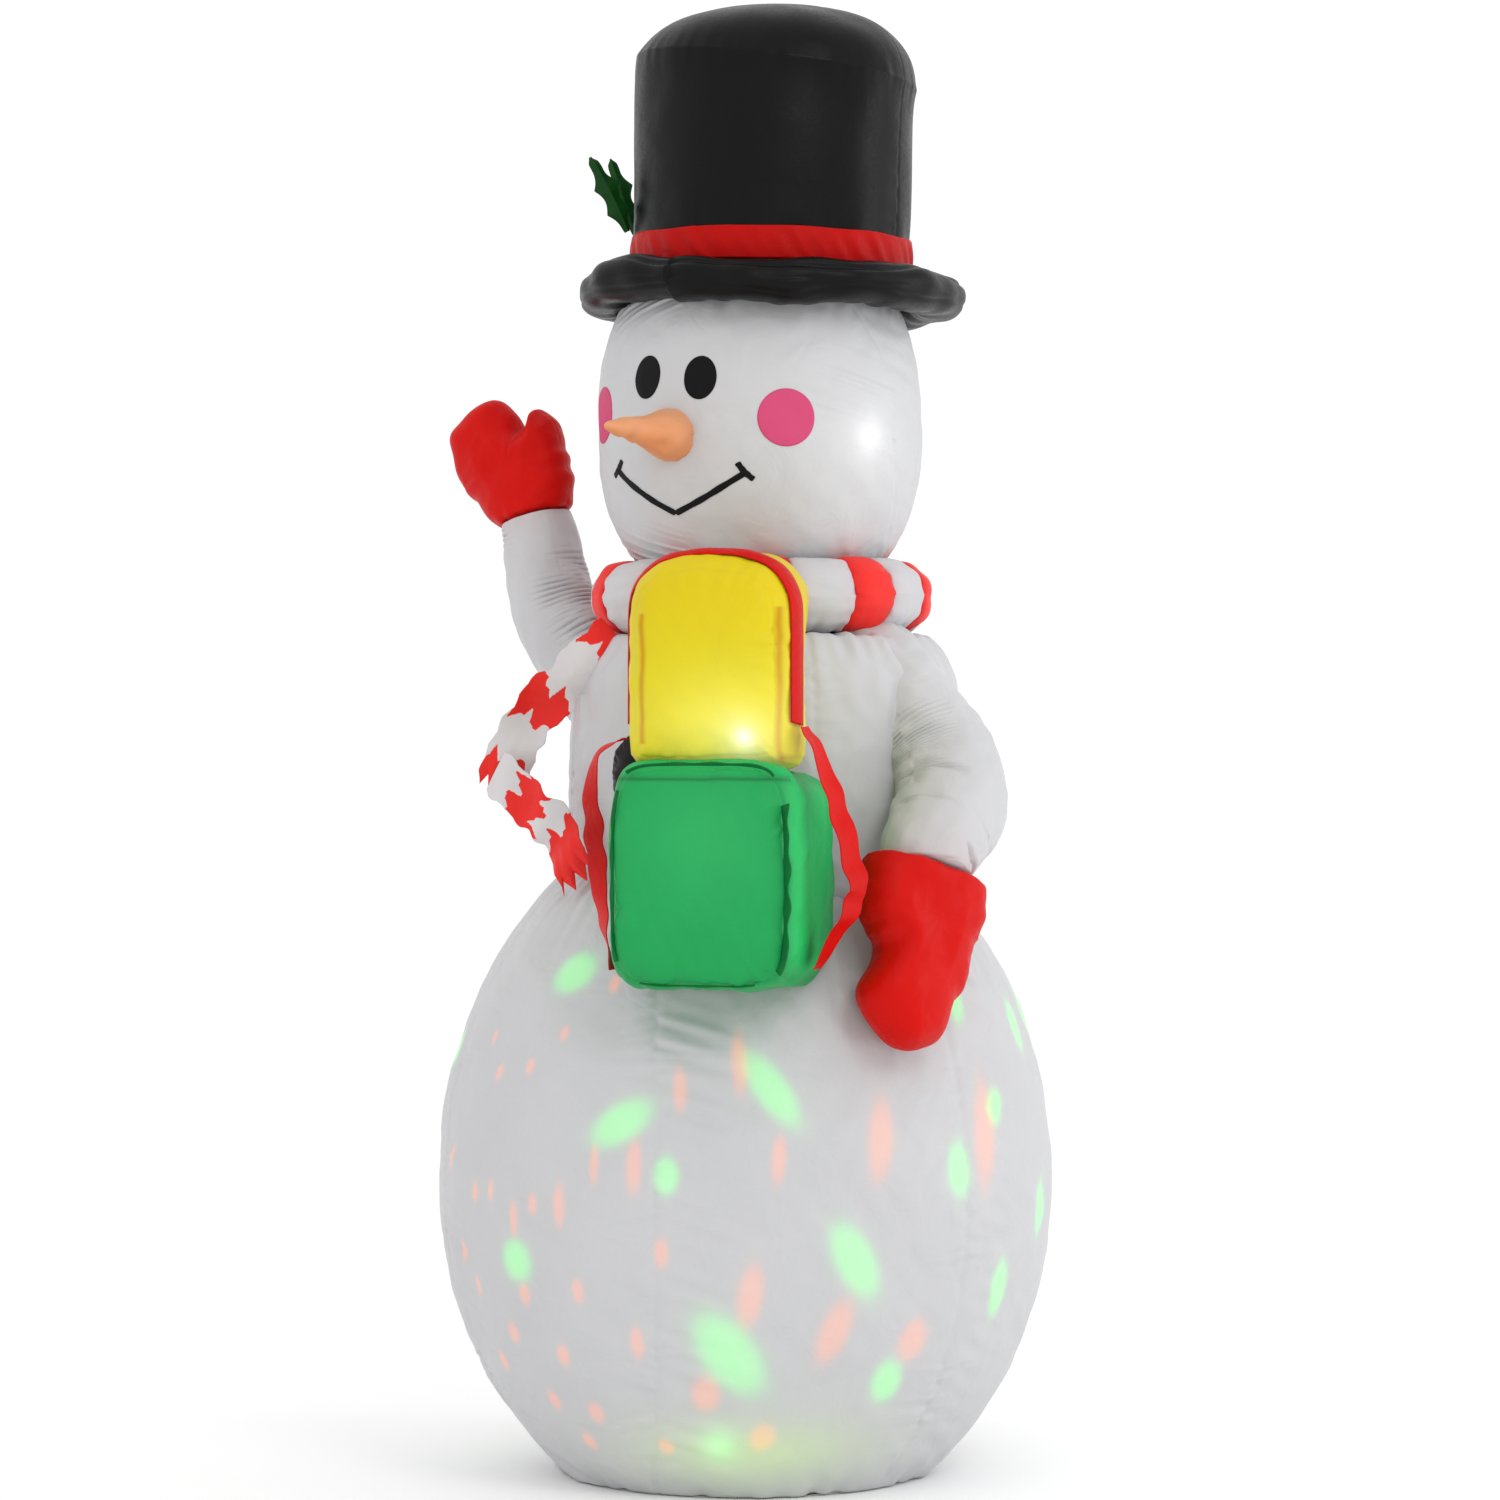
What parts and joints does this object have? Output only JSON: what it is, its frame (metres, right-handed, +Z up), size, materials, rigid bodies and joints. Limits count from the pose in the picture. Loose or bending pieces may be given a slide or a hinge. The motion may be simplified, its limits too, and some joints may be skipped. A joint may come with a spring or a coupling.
{
  "type": "inflatable yard snowman",
  "caption": "Inflatable snowman with a top hat, striped scarf and stacked gift boxes, a rear blower, a deflation zip and a turning projector lamp.",
  "frame": {"origin": "centre of the flat round base, on the ground", "axes": "+Z up; the face looks along -Y; the snowman's own left is +X"},
  "size_m": [0.8262, 0.8139, 1.8264],
  "materials": {
    "white_polyester": "satin",
    "black_polyester": "satin",
    "red_polyester": "satin",
    "green_polyester": "satin",
    "yellow_polyester": "satin",
    "leaf_fabric": "satin",
    "pink_print": "satin",
    "black_print": "satin",
    "orange_polyester": "satin",
    "black_webbing": "matte",
    "base_fabric": "matte",
    "dark_abs": "matte",
    "impeller_plastic": "satin",
    "cup_plastic": "satin",
    "lamp_plastic": "satin",
    "lens_plastic": "gloss",
    "circuit_board": "gloss",
    "led_epoxy": "gloss",
    "motor_steel": "satin",
    "shaft_steel": "polished",
    "screw_steel": "satin",
    "lead_pvc": "matte",
    "gland_nylon": "satin",
    "sand_bag": "matte",
    "zip_tape": "matte",
    "zip_metal": "satin",
    "brass": "satin"
  },
  "bodies": {
    "root": {"lower_ball": "white_polyester", "base_panel": "base_fabric", "torso": "white_polyester", "head": "white_polyester", "nose": "orange_polyester", "eyes": "black_print", "cheeks": "pink_print", "mouth": "black_print", "hat_crown": "black_polyester", "hat_brim": "black_polyester", "hat_band": "red_polyester", "holly_leaves": "leaf_fabric", "scarf_collar_red": "red_polyester", "scarf_collar_white": "white_polyester", "scarf_tail_red": "red_polyester", "scarf_tail_white": "white_polyester", "right_arm": "white_polyester", "right_mitten": "red_polyester", "left_arm": "white_polyester", "left_mitten": "red_polyester", "gift_green": "green_polyester", "gift_yellow": "yellow_polyester", "gift_green_ribbon": "red_polyester", "gift_yellow_ribbon": "red_polyester", "coal_button": "black_polyester", "blower_sleeve": "white_polyester", "sleeve_strap": "black_webbing", "blower_intake_shell": "dark_abs", "blower_outlet_shell": "dark_abs", "intake_grille": "dark_abs", "motor_spider": "dark_abs", "motor_can": "motor_steel", "housing_screws": "screw_steel", "lead_gland": "gland_nylon", "projector_cup": "cup_plastic", "projector_motor": "motor_steel", "projector_led_board": "circuit_board", "projector_leds": "led_epoxy", "head_lamp_body": "lamp_plastic", "head_lamp_lens": "led_epoxy", "gift_lamp_body": "lamp_plastic", "gift_lamp_lens": "led_epoxy", "lamp_straps": "black_webbing", "harness_splitter": "gland_nylon", "wiring_harness": "lead_pvc", "ballast_bags": "sand_bag", "zip_tape_upper": "zip_tape", "zip_tape_lower": "zip_tape", "zip_stops": "zip_metal", "stake_tabs": "black_webbing", "stake_grommets": "brass"},
    "impeller": {"impeller": "impeller_plastic", "motor_shaft": "shaft_steel"},
    "projector_dome": {"projector_dome": "lens_plastic", "projector_spindle": "shaft_steel"},
    "zip_slider": {"zip_slider": "zip_metal"},
    "zip_pull": {"zip_pull": "zip_metal"}
  },
  "joints": [
    {"name": "impeller_spin", "type": "hinge", "parent": "root", "child": "impeller", "pos_m": [0, 0.3, 0.125], "axis": [0, 1, 0], "continuous": true},
    {"name": "projector_spin", "type": "hinge", "parent": "root", "child": "projector_dome", "pos_m": [0, -0.07, 0.04], "axis": [0, 0, 1], "continuous": true},
    {"name": "zip_slide", "type": "hinge", "parent": "root", "child": "zip_slider", "pos_m": [0, 0, 0.33], "axis": [0, 0, 1], "range_deg": [-55.6, 0]},
    {"name": "pull_swing", "type": "hinge", "parent": "zip_slider", "child": "zip_pull", "pos_m": [-0.18142, 0.3441, 0.327], "axis": [0.8846, 0.4664, 0], "range_deg": [-15, 170]}
  ]
}
